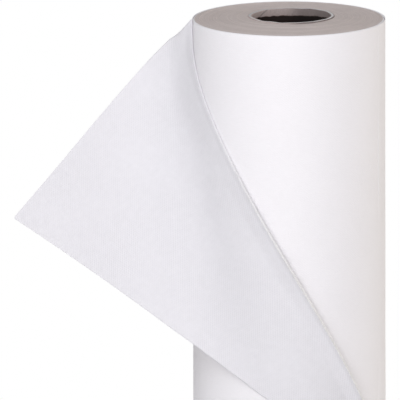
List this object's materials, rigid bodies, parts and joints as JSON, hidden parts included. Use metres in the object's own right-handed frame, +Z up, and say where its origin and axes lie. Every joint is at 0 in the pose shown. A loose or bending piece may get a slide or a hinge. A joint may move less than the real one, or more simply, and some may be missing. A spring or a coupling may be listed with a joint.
{
  "type": "frost protection fleece roll",
  "caption": "Roll of white spunbond fleece on a cardboard tube, standing on end, its loose end's top corner folded back over the front and free to swing beside the roll.",
  "frame": {"origin": "middle of the bounding box on the plane that the roll stands on; the roll's own axis stands 55.8 mm along +X and 1.9 mm along +Y from it", "axes": "+Z up along the roll, +X to the viewer's right, +Y away from the viewer; the turned-back corner reaches towards -X"},
  "size_m": [0.24, 0.128, 0.5012],
  "materials": {
    "cardboard": "raw grey-brown paperboard, matt",
    "adhesive_tape": "thin cream adhesive strip",
    "wound_fleece": "white spunbond fleece, close wound, with grey-beige wound edges on the end faces",
    "fleece_sheet": "white spunbond fleece, matt, slightly translucent, with fine bonding lines"
  },
  "bodies": {
    "roll": {"core_tube": "cardboard", "start_tape": "adhesive_tape", "wound_fleece": "wound_fleece", "outer_turn": "fleece_sheet", "turned_back_panel": "fleece_sheet"},
    "loose_corner": {"loose_corner": "fleece_sheet"}
  },
  "joints": [
    {"name": "corner_swing", "type": "hinge", "parent": "roll", "child": "loose_corner", "pos_m": [-0.02022, -0.01807, 0.3965], "axis": [0, 0.2699, 0.9629], "range_deg": [-75, 80]}
  ]
}
